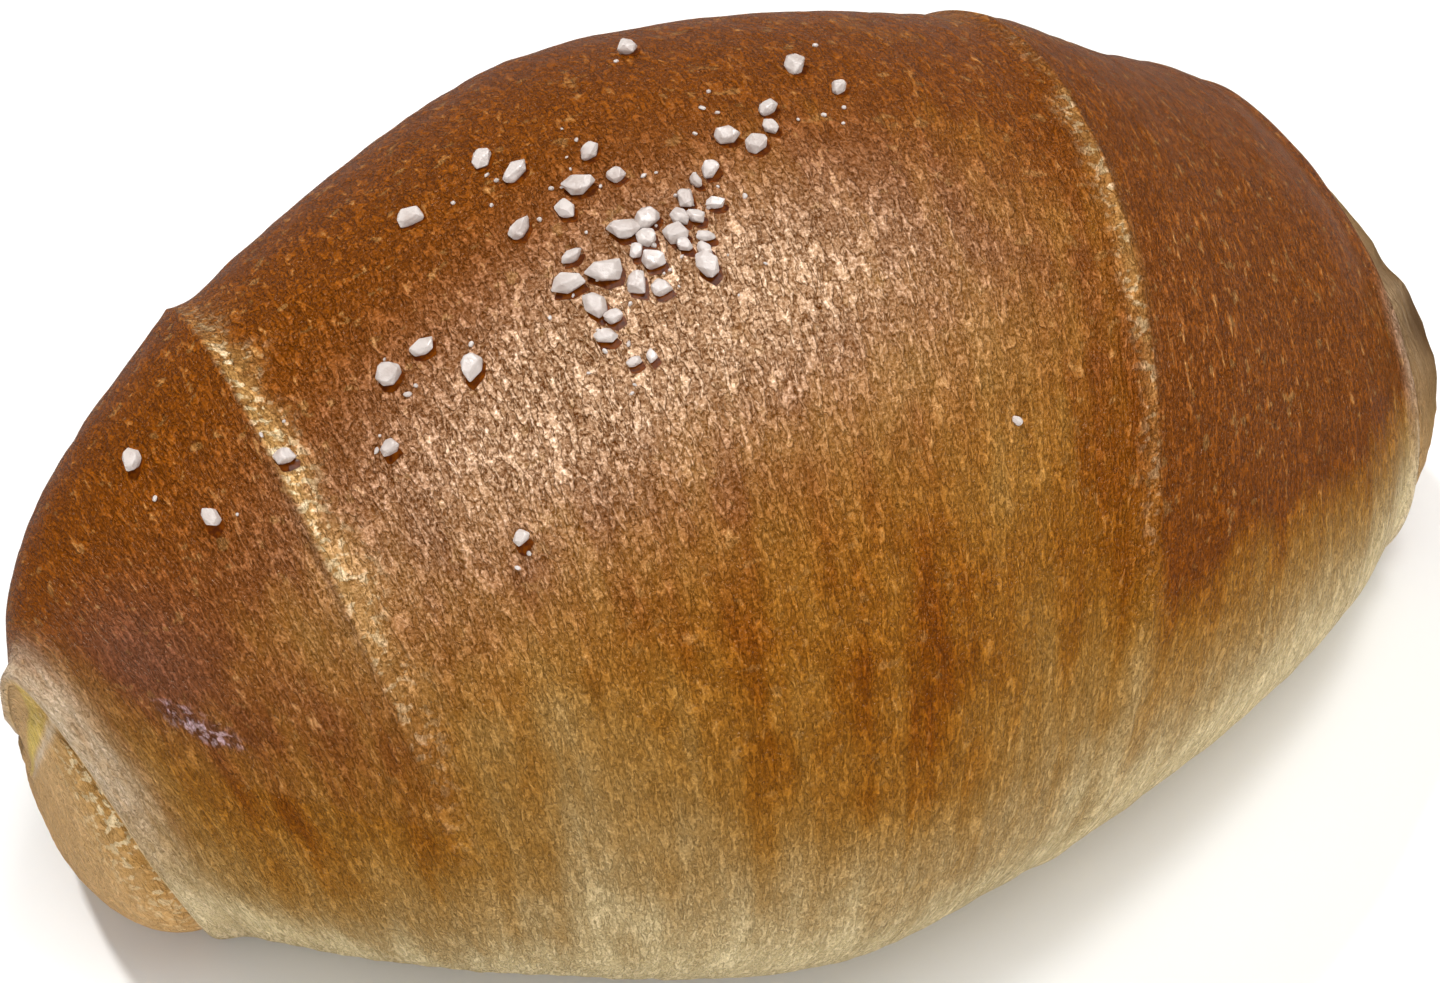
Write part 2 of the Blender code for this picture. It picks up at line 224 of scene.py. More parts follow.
# wrinkles of the skin from grit to long streaks: width, length round the roll and level of a crest
WRINKLES = ((0.21, 0.27, 0.6), (0.42, 1.35, 0.55), (0.9, 3.6, 0.56), (2.6, 20.0, 0.5))
# the relief darkens the low places of the skin and lightens its crests: partly the skin's own tone,
# partly painted shade and painted light
SHADED_SKIN_TONES = (2.3, 2.5, 3.2)   # how strongly the skin's relief deepens red, green and blue


def end_values(values, x):
    """The left or the right value of a pair, by the side of the fattest place."""
    return np.where(x < 0, values["left"], values["right"])


def wrap_edge(edge, angle):
    mean, swing, furthest = edge
    return mean + math.copysign(swing, mean) * np.cos(angle - math.radians(furthest))


def hull(place, angle):
    """Plain body without the wraps: points for a place along the roll and an angle round it."""
    x = LENGTH / 2 * np.sin(place * math.pi / 2)
    from_fattest = x - FATTEST_X
    reach = np.where(from_fattest < 0, LENGTH / 2 + FATTEST_X, LENGTH / 2 - FATTEST_X)
    share = np.clip(np.abs(from_fattest) / reach, 0, 1)
    share = ((np.sqrt(share ** 2 + CROWN_SOFTNESS ** 2) - CROWN_SOFTNESS)
             / (math.sqrt(1 + CROWN_SOFTNESS ** 2) - CROWN_SOFTNESS))
    girth = np.clip(1 - share ** end_values(TAPER, from_fattest), 0, None) ** (
        1 / end_values(ROUNDNESS, from_fattest))
    rise = girth ** end_values(HEIGHT_HOLD, from_fattest)
    back = girth ** end_values(BACK_HOLD, from_fattest)

    radius = (np.abs(np.cos(angle)) ** SECTION_POWER
              + np.abs(np.sin(angle)) ** SECTION_POWER) ** (-1 / SECTION_POWER)
    across, upward = np.cos(angle) * radius, np.sin(angle) * radius
    half = np.where(across > 0, back * BACK_SHARE, girth * (2 - BACK_SHARE)) * WIDTH / 2
    y = half * across
    level = HEIGHT * AXIS_HEIGHT * (AXIS_AT_ENDS + (1 - AXIS_AT_ENDS) * rise)
    above = HEIGHT * (1 - AXIS_HEIGHT) * rise
    below = HEIGHT * AXIS_HEIGHT * UNDER_DEPTH * girth ** UNDER_HOLD
    z = level + np.where(upward >= 0, above, below) * upward
    return np.stack([x, y, z], -1)


def around(angle, centre, width):
    """Soft bump round one direction of the section, in degrees."""
    turn = (np.degrees(angle) - centre + 180) % 360 - 180
    return np.exp(-(turn / width) ** 2)


def smooth(low, high, value):
    """0 below low, 1 above high and a soft step between."""
    share = np.clip((value - low) / (high - low), 0, 1)
    return share * share * (3 - 2 * share)


def overlap(distance, depth, edge):
    """Crease where one wrap lies on another. The upper wrap is on the positive side."""
    away = np.abs(distance)
    lower = -depth * np.exp(-away / SEAM_REACH)
    upper = -depth * np.exp(-away / SEAM_FLANK)
    upper = upper + edge * (1 - np.exp(-away / SEAM_FLANK)) * np.exp(-away / SEAM_SHOULDER)
    return np.where(distance < 0, lower, upper)


def swell(along, start, end):
    return np.sin(math.pi * np.clip((along - start) / (end - start), 0, 1)) ** 2


def crispness(angle):
    """How sharply each seam shows round the section, for the left and the right one."""
    left = (0.45 * around(angle, 60, 55) + around(angle, 112, 40)
            + 0.35 * around(angle, 170, 40) + 0.3 * around(angle, 0, 60))
    right = (0.7 * around(angle, 70, 60) + 0.9 * around(angle, 130, 50)
             + 0.5 * around(angle, 180, 40) + 0.4 * around(angle, 0, 60))
    return left, right


def relief(along, seam_l, seam_r, angle):
    """Height of the wraps over the hull, from distances along the roll's surface."""
    on_top = np.clip(0.3 + np.sin(angle), 0, 1)
    crisp_l, crisp_r = crispness(angle)
    end = along[-1]
    height = crisp_l * overlap(along - seam_l, SEAM_DEPTH["left"], SEAM_EDGE["left"])
    height += crisp_r * overlap(seam_r - along, SEAM_DEPTH["right"], SEAM_EDGE["right"])
    height -= LIP_ROUND["left"] * np.exp(-(along / LIP_FLANK) ** 2)
    height -= LIP_ROUND["right"] * np.exp(-((end - along) / LIP_FLANK) ** 2)
    height += LOBE_SWELL["left"] * swell(along, 0, seam_l) * on_top
    height += LOBE_SWELL["right"] * swell(along, seam_r, end) * on_top
    height -= MIDDLE_SAG * swell(along, seam_l, seam_r) * on_top
    return height


def waviness(points, angle):
    """A few long soft waves, so that the roll isn't even."""
    rng = random.Random(WAVE_SEED)
    total = np.zeros(points.shape[:-1])
    for _ in range(WAVE_COUNT):
        length, turns = rng.uniform(28, 60), rng.randint(1, 4)
        phase, offset = rng.uniform(0, 2 * math.pi), rng.uniform(0, 2 * math.pi)
        total += UNEVENNESS * np.sin(2 * math.pi * points[..., 0] / length + phase) * np.cos(
            turns * angle + offset)
    return total


def bumpiness(points, size, seed, waves=28):
    """Smooth random unevenness, mostly between -1 and 1, with bumps of about one size."""
    rng = np.random.default_rng(seed)
    total = np.zeros(points.shape[:-1])
    for _ in range(waves):
        direction = rng.normal(size=3)
        direction *= 2 * math.pi / (size * rng.uniform(1.2, 2.6) * np.linalg.norm(direction))
        total += np.sin(points @ direction + rng.uniform(0, 2 * math.pi))
    return total / math.sqrt(waves)


def ring_places(angle):
    """Place of every ring from lip to lip at each angle. The rings follow the wraps' edges."""
    limits = [wrap_edge(e, angle) for e in (LIP_LEFT, SEAM_LEFT, SEAM_RIGHT, LIP_RIGHT)]
    places, marks = [], []
    for part, count in enumerate(LOBE_RINGS):
        marks.append(len(places))
        steps = np.arange(count) / count
        steps = steps - RING_CROWDING * np.sin(2 * math.pi * steps) / (2 * math.pi)
        for step in steps:
            places.append(limits[part] + (limits[part + 1] - limits[part]) * step)
    places.append(limits[-1])
    return np.array(places), marks[1:]


def torn_strip(distance, ragged, width):
    """Mask of the torn strip that starts sharply at a seam and fades away unevenly."""
    width = width * (1 + 0.35 * ragged)
    return smooth(-0.15, 0.3, distance) * np.exp(-(np.clip(distance, 0, None) / width) ** 2)


# painted shade along a crease, just below the seam
def crease_shade_line(distance):
    return np.exp(-((distance + CREASE_PLACE) / CREASE_BREADTH) ** 2)


def lobes(angle, settings):
    """Rings of the three lobes from the left lip to the right one, and the masks of their finish."""
    places, marks = ring_places(angle)
    angles = np.broadcast_to(angle, places.shape)
    points = hull(places, angles)
    steps = np.linalg.norm(np.diff(points, axis=0), axis=-1)
    along = np.concatenate([np.zeros((1, len(angle))), np.cumsum(steps, axis=0)])
    seam_l, seam_r, end = along[marks[0]], along[marks[1]], along[-1]
    normal = np.cross(np.gradient(points, axis=0),
                      np.roll(points, -1, 1) - np.roll(points, 1, 1))
    normal /= np.linalg.norm(normal, axis=-1, keepdims=True)
    height = relief(along, seam_l, seam_r, angles) + waviness(points, angles)

    lane = np.broadcast_to(along.mean(axis=1, keepdims=True), along.shape)
    flow = np.stack([lane, points[..., 1], points[..., 2]], -1)
    from_l, from_r = along - seam_l, seam_r - along
    ragged = bumpiness(flow, 3.0, 14)
    torn_l = around(angles, *TORN_SPAN["left"]) * torn_strip(from_l, ragged, BAND_WIDTH["left"])
    torn_r = around(angles, *TORN_SPAN["right"]) * torn_strip(from_r, ragged, BAND_WIDTH["right"])
    band = np.maximum(torn_l, TORN_RIGHT * torn_r)
    # painted shade in the crease beside each seam
    valley = np.maximum(
        around(angles, *CREASE_SHADE_LINE["left"]) * crease_shade_line(from_l),
        around(angles, *CREASE_SHADE_LINE["right"]) * crease_shade_line(from_r))
    stretched = flow / (1, 2.6, 2.6)
    height = height + settings.ripple_height / MM * bumpiness(stretched, 1.5, 11)
    height = height + settings.crumb_height / MM * band * bumpiness(flow, 0.9, 12)

    degrees = np.degrees(angles)
    share = lane / lane.max()
    keys = (0.12, 0.5, 0.85)
    start = np.interp(share, keys, [FADE_START[k] for k in ("left", "middle", "right")])
    finish = np.interp(share, keys, [FADE_END[k] for k in ("left", "middle", "right")])
    front = 1 - smooth(0, 1, (degrees - start) / (finish - start))
    across = points[..., 0]
    lighter = sum(amount * np.exp(-((across - x) / reach) ** 2) * around(angles, turn, span)
                  for x, reach, turn, span, amount in LIGHTER_PATCHES)
    front = front - lighter
    beyond = smooth(0, RIGHT_BAKE_REACH, -from_r) * around(
        angles, RIGHT_BAKE_ANGLE, RIGHT_BAKE_SPAN)
    near_lip = np.exp(-(along / LEFT_FADE_REACH) ** 2) * smooth(95, 150, degrees)
    front = front + RIGHT_BAKE * beyond - LEFT_FADE * near_lip
    bake = np.maximum(np.where(degrees < 270, front, 0), smooth(*FADE_BACK, degrees))
    left_lip = np.exp(-(along / LIP_PALE["left"]) ** 2) * (1 - LIP_FADE * smooth(155, 182, degrees))
    right_lip = np.exp(-((end - along) / LIP_PALE["right"]) ** 2) * smooth(112, 138, degrees)
    lip = np.maximum(LIP_STRENGTH["left"] * left_lip, LIP_STRENGTH["right"] * right_lip)
    place, turn, reach, span = BLUSH
    blush = np.exp(-((along - place * seam_l) / reach) ** 2) * around(angles, turn, span)
    place, turn, half_length, half_breadth, slant = SCAB
    beside, below = along - place * seam_l, slant * (degrees - turn)
    scab = np.exp(-((beside + below) / half_length) ** 2 - ((beside - below) / half_breadth) ** 2)
    scab = smooth(0.25, 0.65, scab * (1 + 0.35 * bumpiness(flow, 1.2, 15)))
    height = height + 0.1 * scab * bumpiness(flow, 0.8, 13)
    # where the crown's highlight is painted into the colour; the crust is a little glossier there too
    glaze = sum(amount * np.exp(-((across - x) / reach_x) ** 2
                                - ((points[..., 1] - y) / reach_y) ** 2)
                for x, y, reach_x, reach_y, amount in HIGHLIGHT_AND_GLOSS)
    glaze = np.where(points[..., 2] > HEIGHT / 2, np.clip(glaze, 0, 1), 0)
    masks = {"bake": bake, "band": np.clip(band, 0, 1), "lip": lip, "blush": blush, "scab": scab,
             "glaze": glaze, "valley": valley, "dough": np.zeros_like(bake),
             "pocket": np.zeros_like(bake)}
    return points + normal * height[..., None], flow, masks


def core(lip, angle, side, lane, settings):
    """Rings of the dough core from its tip out to where it tucks under the lobe's lip."""
    tip = np.array(TIP[side])
    middle = lip.mean(axis=0)
    inset = LIP_INSET[side] / np.linalg.norm(lip - middle, axis=-1, keepdims=True)
    rim = lip + (middle - lip) * inset
    rings = []
    for ring in range(CORE_RINGS):
        share = ring / CORE_RINGS
        turn = share * math.pi / 2
        out = math.sin(turn) ** CORE_FULLNESS[side]
        across = middle + (rim - middle) * out + (tip - middle) * (1 - out)
        across[:, 0] = rim[:, 0] + (tip[0] - rim[:, 0]) * math.cos(turn)
        rings.append(across)
    rings = np.array(rings)
    from_tip = np.linalg.norm(rings - rings[:1], axis=-1)
    share = np.arange(CORE_RINGS)[:, None] / CORE_RINGS
    hollow = TIP_DIMPLE * np.exp(-(from_tip / TIP_DIMPLE_REACH) ** 2)
    hollow = hollow + (FOLD_DEPTH * around(angle, FOLD_ANGLE, FOLD_SPAN)
                       * np.exp(-((from_tip - FOLD_FROM_TIP) / FOLD_WIDTH) ** 2))
    at_rim = np.zeros_like(hollow[:1])
    # painted shade in the fold and the dimple of the core
    valley = CORE_HOLLOW_SHADE[side] * np.clip(np.append(hollow / FOLD_DEPTH, at_rim, axis=0), 0, 1)
    if side == "left":
        hollow = hollow + POCKET_DEPTH * around(angle, POCKET_ANGLE, POCKET_SPAN) * np.exp(
            -((1 - share - POCKET_FROM_LIP) / POCKET_REACH) ** 2)
    inward = middle - rings
    inward /= np.linalg.norm(inward, axis=-1, keepdims=True)
    points = np.concatenate([rings + inward * hollow[..., None], rim[None]])

    from_rim = np.linalg.norm(points - points[-1:], axis=-1).mean(axis=1, keepdims=True)
    flow = points.copy()
    flow[..., 0] = lane + from_rim * (-1 if side == "left" else 1)
    blank = np.zeros(points.shape[:-1])
    share = np.append(share, 1.0)[:, None]
    start, lean, narrowing = LAYER_EDGE
    layer = start + lean * (1 - share)
    wedge = layer - narrowing * share
    degrees = np.degrees(angle)
    yellow = smooth(wedge - 3, wedge + 3, degrees) * (1 - smooth(layer - 3, layer, degrees))
    yellow = yellow * smooth(0.1, 0.25, share)
    edge = around(angle, layer + 1, LAYER_WIDTH) * smooth(0.15, 0.3, share)
    crease = np.exp(-(from_rim / CREASE_REACH) ** 2) * around(angle, *CREASE_SPAN)
    if side == "right":
        amount, turn, span = CORE_PALE
        crease, yellow, edge = crease * 0.3, blank, blank + amount * around(angle, turn, span)
    rough = bumpiness(flow, 0.9, 21) * (0.3 + crease)
    points = points + (middle - points) / np.linalg.norm(
        middle - points, axis=-1, keepdims=True) * (settings.crumb_height / MM * rough)[..., None]
    masks = {"bake": blank, "band": crease, "lip": edge, "blush": blank, "scab": blank,
             "glaze": blank, "valley": valley, "dough": blank + 1, "pocket": yellow}
    return points, flow, masks


def body_grid(columns, settings):
    """Rings of points from tip to tip in millimetres, with their flow and masks."""
    angle = np.arange(columns) * 2 * math.pi / columns
    points, flow, masks = lobes(angle, settings)
    parts = [core(points[0], angle, "left", 0.0, settings), (points, flow, masks),
             [v[::-1] if not isinstance(v, dict) else {k: m[::-1] for k, m in v.items()}
              for v in core(points[-1], angle, "right", flow[-1, 0, 0], settings)]]
    points, flow = (np.concatenate([p[i] for p in parts]) for i in range(2))
    masks = {name: np.concatenate([p[2][name] for p in parts]) for name in masks}
    z = points[..., 2]
    blended = np.clip(z + BASE_BLEND, 0, None) ** 2 / (4 * BASE_BLEND)
    blended = np.where(blended < FOOT_EDGE, 0, blended)
    points[..., 2] = np.where(z > BASE_BLEND, z, blended)
    return points, flow, masks


def poles(values):
    """Values for the mesh of a grid whose first and last rings have shrunk to one point."""
    inner = values[1:-1].reshape(-1, *values.shape[2:])
    return np.concatenate([inner, values[:1, 0], values[-1:, 0]])


def loft(name, grid):
    """Closed mesh through rings whose first and last have shrunk to one point."""
    rings, columns = grid.shape[:2]
    first = (rings - 2) * columns
    faces = []
    end = (rings - 3) * columns
    for j in range(columns):
        k = (j + 1) % columns
        faces.append((first, k, j))
        faces.append((end + j, end + k, first + 1))
        for i in range(rings - 3):
            row, above = i * columns, (i + 1) * columns
            faces.append((row + j, row + k, above + k, above + j))
    mesh = bpy.data.meshes.new(name)
    mesh.from_pydata((poles(grid) * MM).tolist(), [], faces)
    mesh.shade_smooth()
    mesh.update()
    return bpy.data.objects.new(name, mesh)


def salt_layout():
    """Plan position, size and draw of each grain. The largest of a patch come first."""
    grains = []
    for x, y, reach_x, reach_y, count, mean, draw in SALT_PATCHES:
        rng = random.Random(draw)
        sizes = sorted((mean * math.exp(rng.gauss(0, GRAIN_SPREAD)) for _ in range(count)),
                       reverse=True)
        placed = []
        for size in sizes:
            best, clearance = None, -math.inf
            for _ in range(30):
                turn, out = rng.uniform(0, 2 * math.pi), math.sqrt(rng.random())
                spot = (x + reach_x * out * math.cos(turn), y + reach_y * out * math.sin(turn))
                room = min((math.dist(spot, p[:2]) - GRAIN_SPACING * (size + p[2]) / 2
                            for p in placed), default=0)
                if room > clearance:
                    best, clearance = spot, room
                if room >= 0:
                    break
            placed.append((*best, size))
        grains += [(*p, rng.random()) for p in placed]
    return grains


def salt_crumbs():
    """Plan position, size and draw of the fine crumbs that lie round the grains."""
    rng = random.Random(CRUMB_SEED)
    crumbs = []
    for x, y, reach_x, reach_y, count, _, _ in SALT_PATCHES:
        for _ in range(round(CRUMBS_PER_GRAIN * count)):
            spot = (rng.gauss(x, reach_x / 2 + CRUMB_SCATTER),
                    rng.gauss(y, reach_y / 2 + CRUMB_SCATTER))
            crumbs.append((*spot, rng.uniform(*CRUMB_SIZE), rng.random()))
    crumbs.append(STRAY_CRUMB)
    return crumbs


def crystal(size, rng):
    """Chipped flake: the hull of an uneven ring of corners with a smaller face above and below."""
    long, broad, high = (size / 2 * rng.uniform(*share) for share in GRAIN_SHAPE)
    points = []
    for level, reach, corners in GRAIN_RINGS:
        start = rng.uniform(0, 2 * math.pi)
        for corner in range(corners):
            turn = start + 2 * math.pi * (corner + rng.uniform(-0.3, 0.3)) / corners
            out = reach * rng.uniform(*GRAIN_CHIPPING)
            drawn = 1 + GRAIN_POINT * max(0.0, math.cos(turn)) ** 3
            points.append((long * out * drawn * math.cos(turn), broad * out * math.sin(turn),
                           high * (level + rng.uniform(-0.15, 0.15))))
    shape = bmesh.new()
    for point in points:
        shape.verts.new(Vector(point) * MM)
    hull_parts = bmesh.ops.convex_hull(shape, input=shape.verts)
    bmesh.ops.delete(shape, geom=hull_parts["geom_interior"], context="VERTS")
    return shape, high


def shadow_and_wet_mark(marks, crust, grain):
    """Add a thin dark mark in the outline of a grain, shifted to the front where its shadow falls and
    laid on the crust: partly wet crust, partly a painted shadow.
    """
    plan = [v.co.to_2d() for v in grain.verts]
    middle = sum(plan, Vector((0, 0))) / len(plan)
    outline = []
    for corner in range(MARK_CORNERS):
        turn = 2 * math.pi * corner / MARK_CORNERS
        towards = Vector((math.cos(turn), math.sin(turn)))
        furthest = max(plan, key=towards.dot)
        if not outline or (furthest - outline[-1]).length > SAME_SPOT:
            outline.append(furthest)
    if (outline[0] - outline[-1]).length < SAME_SPOT:
        outline.pop()
    shift = Vector(MARK_SHIFT) * MM
    laid = []
    for point in (middle, *outline):
        x, y = middle + (point - middle) * MARK_GROWTH + shift
        spot, normal, _, _ = crust.ray_cast(Vector((x, y, 2 * HEIGHT * MM)), Vector((0, 0, -1)))
        laid.append(marks.verts.new(spot + normal * MARK_LIFT * MM))
    for first, second in zip(laid[1:], laid[2:] + laid[1:2]):
        marks.faces.new((laid[0], first, second))


def add_to_scene(item):
    bpy.context.scene.collection.objects.link(item)
    return item


def dress(piece, material):
    """Give a piece its material and tie it to the roll."""
    piece.data.materials.clear()
    piece.data.materials.append(material)
    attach(piece, "root")
    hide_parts(NODE)


# ---------------------------------------------------------------- materials

def place_node(tree, kind, inputs=None, **settings):
    """New node with its settings. An input is a plain value or the socket that feeds it."""
    item = tree.nodes.new(kind)
    for name, value in settings.items():
        setattr(item, name, value)
    for name, value in (inputs or {}).items():
        if isinstance(value, bpy.types.NodeSocket):
            tree.links.new(value, item.inputs[name])
        else:
            item.inputs[name].default_value = value
    return item


def math_node(tree, operation, first, second=0.0, third=0.0, clamp=False):
    return place_node(tree, "ShaderNodeMath", {0: first, 1: second, 2: third},
                      operation=operation, use_clamp=clamp).outputs[0]


def mix_colour(tree, factor, first, second, blend="MIX"):
    item = place_node(tree, "ShaderNodeMix", data_type="RGBA", blend_type=blend)
    for socket, value in ((item.inputs[0], factor), (item.inputs[6], first),
                          (item.inputs[7], second)):
        if isinstance(value, bpy.types.NodeSocket):
            tree.links.new(value, socket)
        else:
            socket.default_value = value
    return item.outputs[2]


def mask_input(tree, name):
    return place_node(tree, "ShaderNodeAttribute", attribute_name=name).outputs["Fac"]


def new_group(name, inputs, outputs):
    """Empty node group with its named sockets and its input and output nodes."""
    group = bpy.data.node_groups.new(name, "ShaderNodeTree")
    for socket, kind, default in inputs:
        made = group.interface.new_socket(socket, in_out="INPUT", socket_type=kind)
        if default is not None:
            made.default_value = default
    for socket, kind in outputs:
        group.interface.new_socket(socket, in_out="OUTPUT", socket_type=kind)
    return (group, group.nodes.new("NodeGroupInput").outputs,
            group.nodes.new("NodeGroupOutput").inputs)


def mottle_group():
    """Soft irregular patches of one size, as a mask."""
    group, given, result = new_group(
        "mottle",
        [("Vector", "NodeSocketVector", None), ("Size", "NodeSocketFloat", 10.0),
         ("Low", "NodeSocketFloat", 0.35), ("High", "NodeSocketFloat", 0.65)],
        [("Mask", "NodeSocketFloat")])
    scale = math_node(group, "DIVIDE", 1.0, given["Size"])
    noise = place_node(group, "ShaderNodeTexNoise",
                       {"Vector": given["Vector"], "Scale": scale, "Detail": 3.0})
    spread = place_node(group, "ShaderNodeMapRange",
                        {"Value": noise.outputs["Fac"], "From Min": given["Low"],
                         "From Max": given["High"]}, interpolation_type="SMOOTHSTEP")
    group.links.new(spread.outputs["Result"], result["Mask"])
    return group


def wrinkle_group():
    """Fine skin wrinkles drawn out round the roll: a height about 0, a mask of their crests and thin
    winding valleys as a second height."""
    group, given, result = new_group(
        "fine_wrinkles",
        [("Flow", "NodeSocketVector", None), ("Width", "NodeSocketFloat", 0.5),
         ("Length", "NodeSocketFloat", 2.0), ("Crest", "NodeSocketFloat", 0.58)],
        [("Height", "NodeSocketFloat"), ("Crests", "NodeSocketFloat"),
         ("Valleys", "NodeSocketFloat")])
    across = math_node(group, "DIVIDE", 1.0, given["Width"])
    round_it = math_node(group, "DIVIDE", 1.0, given["Length"])
    scale = place_node(group, "ShaderNodeCombineXYZ", {"X": across, "Y": round_it, "Z": round_it})
    stretched = place_node(group, "ShaderNodeVectorMath",
                           {0: given["Flow"], 1: scale.outputs[0]}, operation="MULTIPLY")
    noise = place_node(group, "ShaderNodeTexNoise",
                       {"Vector": stretched.outputs[0], "Scale": 1.0, "Detail": 2.0,
                        "Roughness": 0.55, "Distortion": 0.25})
    upper = math_node(group, "ADD", given["Crest"], 0.14)
    crests = place_node(group, "ShaderNodeMapRange",
                        {"Value": noise.outputs["Fac"], "From Min": given["Crest"],
                         "From Max": upper})
    level = math_node(group, "SUBTRACT", noise.outputs["Fac"], 0.5)
    valleys = place_node(group, "ShaderNodeMapRange",
                         {"Value": math_node(group, "ABSOLUTE", level), "From Max": 0.05,
                          "To Min": -0.45, "To Max": 0.15}, interpolation_type="SMOOTHSTEP")
    group.links.new(level, result["Height"])
    group.links.new(valleys.outputs["Result"], result["Valleys"])
    group.links.new(crests.outputs["Result"], result["Crests"])
    return group


def use_group(tree, group, inputs):
    return place_node(tree, "ShaderNodeGroup", inputs, node_tree=group).outputs


def new_material(name):
    material = bpy.data.materials.new(name)
    material.use_nodes = True
    return material, material.node_tree, material.node_tree.nodes["Principled BSDF"].inputs


def baked_colour(tree, colours, bake, patches, clouds, streak):
    """From pale dough at the foot to deep brown on the crown, a little uneven."""
    uneven = math_node(tree, "MULTIPLY_ADD", patches["Mask"], 0.12, -0.10)
    uneven = math_node(tree, "MULTIPLY_ADD", clouds["Mask"], 0.08, uneven)
    uneven = math_node(tree, "MULTIPLY_ADD", streak["Height"], 0.45, uneven)
    level = math_node(tree, "ADD", bake, uneven, clamp=True)
    ramp = place_node(tree, "ShaderNodeValToRGB", {"Fac": level})
    ramp.color_ramp.interpolation = "B_SPLINE"
    stops = ((0.0, colours.pale_crust), (0.3, colours.straw_crust), (0.62, colours.golden_crust),
             (0.86, colours.brown_crust), (1.0, colours.deep_crust))
    while len(ramp.color_ramp.elements) < len(stops):
        ramp.color_ramp.elements.new(0.5)
    for element, (position, colour) in zip(ramp.color_ramp.elements, stops):
        element.position, element.color = position, (*colour, 1)
    return ramp.outputs["Color"]


def core_colour(tree, colours, colour, patches):
    """Lay the dough of the cores and the yellow wedge over the crust's colour."""
    dough = mix_colour(tree, patches["Mask"], (*colours.core_dough, 1), (*colours.core_shade, 1))
    dough = mix_colour(tree, mask_input(tree, "pocket"), dough, (*colours.pocket_dough, 1))
    return mix_colour(tree, mask_input(tree, "dough"), colour, dough)


def seam_colour(tree, colours, colour, mottle, flow, band, long):
    """Lay the torn strips, their crumbs and the stretched lips over the colour."""
    torn = use_group(tree, mottle, {"Vector": flow, "Size": 1.1, "Low": 0.3, "High": 0.6})
    torn = math_node(tree, "MULTIPLY_ADD", torn["Mask"], 0.55, 0.55)
    colour = mix_colour(tree, math_node(tree, "MULTIPLY", band, torn, clamp=True), colour,
                        (*colours.torn_crust, 1))
    crumbs = use_group(tree, mottle, {"Vector": flow, "Size": 0.75, "Low": 0.52, "High": 0.6})
    crumbs = math_node(tree, "MULTIPLY", crumbs["Mask"], band)
    colour = mix_colour(tree, crumbs, colour, (*colours.seam_crumb, 1))
    fibres = math_node(tree, "MULTIPLY_ADD", long["Height"], 1.6, 0.8)
    fibres = math_node(tree, "MULTIPLY", mask_input(tree, "lip"), fibres, clamp=True)
    return mix_colour(tree, fibres, colour, (*colours.lip_dough, 1))


def blemish_colour(tree, colours, colour, mottle, flow):
    """Lay the violet tint, the blistered streak with its painted glints and the painted shade of the
    creases, folds and dimples over the colour.
    """
    blush = math_node(tree, "MULTIPLY", mask_input(tree, "blush"), BLUSH_STRENGTH)
    colour = mix_colour(tree, blush, colour, (*colours.blush, 1))
    # pale painted glints scattered over the dark streak
    scab_and_glints = use_group(tree, mottle, {"Vector": flow, "Size": 0.7, "Low": 0.48, "High": 0.6})
    scab_and_glints = mix_colour(tree, scab_and_glints["Mask"], (*colours.scab, 1), (*colours.painted_glint, 1))
    scab = math_node(tree, "MULTIPLY", mask_input(tree, "scab"), SCAB_STRENGTH)
    colour = mix_colour(tree, scab, colour, scab_and_glints)
    valley = math_node(tree, "MULTIPLY", mask_input(tree, "valley"), HOLLOW_SHADE_STRENGTH)
    return mix_colour(tree, valley, colour, (*colours.valley, 1))


def fleck_colour(tree, colours, colour, fine, long, chips, bake):
    """Lay the light flecks on the crests of the wrinkles over the colour."""
    flecks = math_node(tree, "MULTIPLY", fine["Crests"], long["Crests"])
    flecks = math_node(tree, "MAXIMUM", flecks, math_node(tree, "MULTIPLY", chips["Mask"], 0.7))
    flecks = math_node(tree, "MULTIPLY", flecks, bake, clamp=True)
    return mix_colour(tree, math_node(tree, "MULTIPLY", flecks, FLECK_STRENGTH), colour,
                      (*colours.fleck, 1))


def skin_relief(tree, grit, fine, long, bake):
    """Level of the fine skin about 0: strongest where it is baked, weakest on dough and lips."""
    level = math_node(tree, "MULTIPLY", grit["Height"], 1.9)
    level = math_node(tree, "MULTIPLY_ADD", fine["Height"], 1.15, level)
    level = math_node(tree, "MULTIPLY_ADD", long["Height"], 0.55, level)
    valley_share = math_node(tree, "MULTIPLY_ADD", mask_input(tree, "glaze"), 0.25, 0.4)
    level = math_node(tree, "MULTIPLY_ADD", fine["Valleys"], valley_share, level)
    roughened = math_node(tree, "MULTIPLY_ADD", bake, 0.65, 0.62)
    level = math_node(tree, "MULTIPLY", level, roughened)
    smooth_dough = math_node(tree, "MULTIPLY_ADD", mask_input(tree, "dough"), -0.3, 1.0)
    smooth_dough = math_node(tree, "MULTIPLY_ADD", mask_input(tree, "lip"), -0.45, smooth_dough)
    return math_node(tree, "MULTIPLY", level, smooth_dough)


def skin_colour(tree, colours, colour, level):
    """Lay the painted highlight of the crown over the colour, strongest on the crests, then darken
    the colour where the skin lies low and lighten it on the crests: partly the skin's own tone,
    partly painted shade and painted light.
    """
    # painted highlight of the crown, strongest on the crests of the skin
    painted_sheen = math_node(tree, "MULTIPLY_ADD", level, 0.55, 0.44)
    painted_sheen = math_node(tree, "MULTIPLY", painted_sheen, mask_input(tree, "glaze"), clamp=True)
    colour = mix_colour(tree, painted_sheen, colour, (*colours.painted_sheen, 1))
    # darker in the low places and lighter on the crests: partly the skin's own tone, partly painted
    # shade and painted light
    tones = place_node(tree, "ShaderNodeCombineXYZ", {
        axis: math_node(tree, "POWER", base, level) for axis, base in zip("XYZ", SHADED_SKIN_TONES)})
    return mix_colour(tree, 1.0, colour, tones.outputs[0], blend="MULTIPLY")


